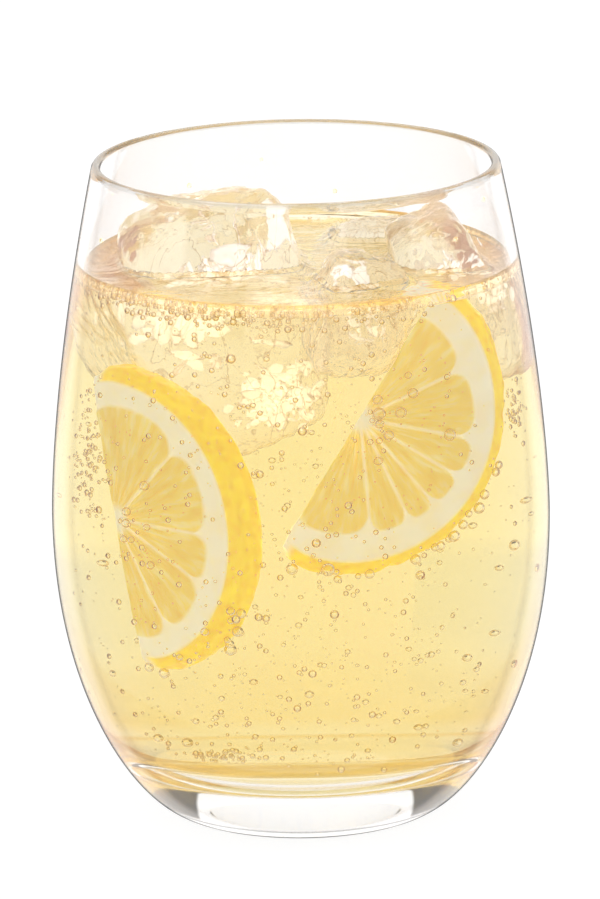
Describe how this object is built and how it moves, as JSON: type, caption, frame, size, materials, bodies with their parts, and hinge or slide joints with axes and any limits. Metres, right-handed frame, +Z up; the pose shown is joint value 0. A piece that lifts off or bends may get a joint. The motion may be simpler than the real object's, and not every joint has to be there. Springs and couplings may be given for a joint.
{
  "type": "glass of lemonade",
  "caption": "Stemless tumbler with a rounded belly and a thick floor, filled with iced lemonade, with blocks of ice standing out of the drink.",
  "frame": {"origin": "middle of the foot ring, on the plane that the tumbler stands on", "axes": "+Z up along the tumbler's axis, +X to the right and -Y towards the viewer in the picture"},
  "size_m": [0.0816, 0.0816, 0.108],
  "materials": {
    "glass": "polished clear glass",
    "lemonade": "clear pale yellow drink",
    "ice": "wet ice, clear with a cracked white heart"
  },
  "bodies": {
    "root": {"glass": "glass", "lemonade": "lemonade", "ice_left": "ice", "ice_right": "ice", "ice_middle": "ice", "ice_back": "ice"}
  },
  "joints": []
}
